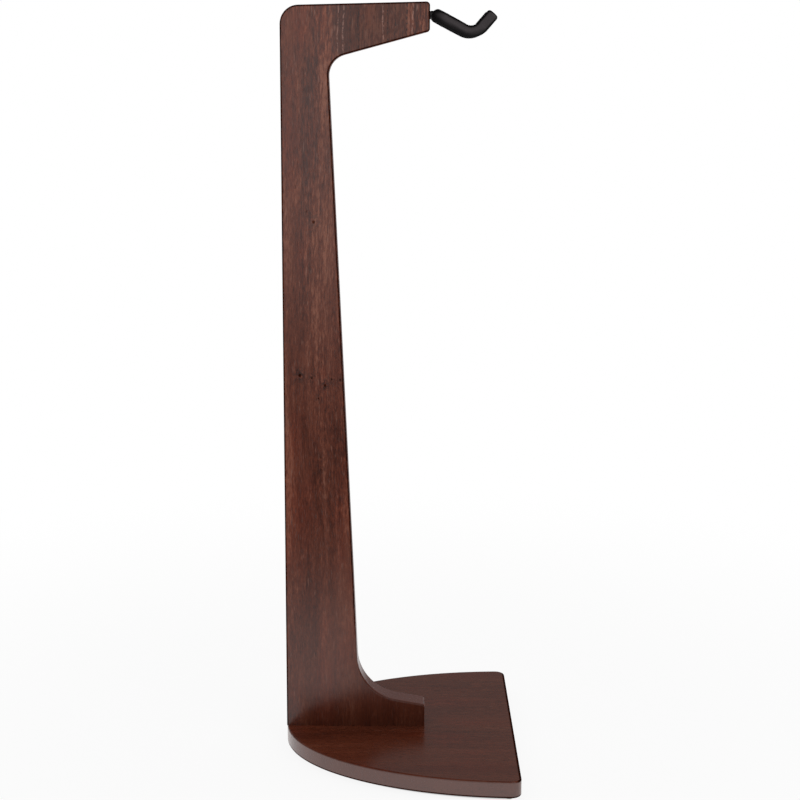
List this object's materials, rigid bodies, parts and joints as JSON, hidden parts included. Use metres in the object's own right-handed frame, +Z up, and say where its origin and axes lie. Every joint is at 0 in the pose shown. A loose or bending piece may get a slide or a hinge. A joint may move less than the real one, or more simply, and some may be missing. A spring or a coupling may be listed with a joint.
{
  "type": "instrument hanging stand",
  "caption": "Wooden floor stand with a flat half-oval base, a tapered C-shaped upright and a padded swivelling two-prong yoke that hangs a guitar by its headstock.",
  "frame": {"origin": "on the floor, under the middle of the base plate's length and width", "axes": "+Z up; +X from the post towards the open front, where the instrument hangs; +Y to the stand's left side; the XZ plane is the stand's plane of symmetry"},
  "size_m": [0.327, 0.3996, 1.0481],
  "materials": {
    "walnut_board": "satin walnut stain and lacquer",
    "beech_dowel": "bare",
    "brass": "as turned",
    "zinc_steel": "bright zinc plate",
    "black_steel": "satin black paint",
    "black_oxide_screw": "black oxide",
    "nylon": "black nylon, matte",
    "sleeve_rubber": "matte black, fine skin",
    "foot_rubber": "matte black"
  },
  "bodies": {
    "stand": {"base_plate": "walnut_board", "upright": "walnut_board", "base_screws": "zinc_steel", "base_inserts": "brass", "alignment_dowels": "beech_dowel", "foot_front_left": "foot_rubber", "foot_front_right": "foot_rubber", "foot_rear_left": "foot_rubber", "foot_rear_right": "foot_rubber", "foot_washers": "zinc_steel", "foot_screws": "zinc_steel", "arm_insert": "brass", "pivot_bolt": "black_oxide_screw", "disc_spring": "zinc_steel", "washer_rear": "nylon", "washer_front": "nylon"},
    "yoke": {"yoke_hub": "black_steel", "yoke_rod": "black_steel", "sleeve_left": "sleeve_rubber", "sleeve_right": "sleeve_rubber"}
  },
  "joints": [
    {"name": "yoke_swivel", "type": "hinge", "parent": "stand", "child": "yoke", "pos_m": [0.0423, 0, 1.031], "axis": [1, 0, 0], "continuous": true}
  ]
}
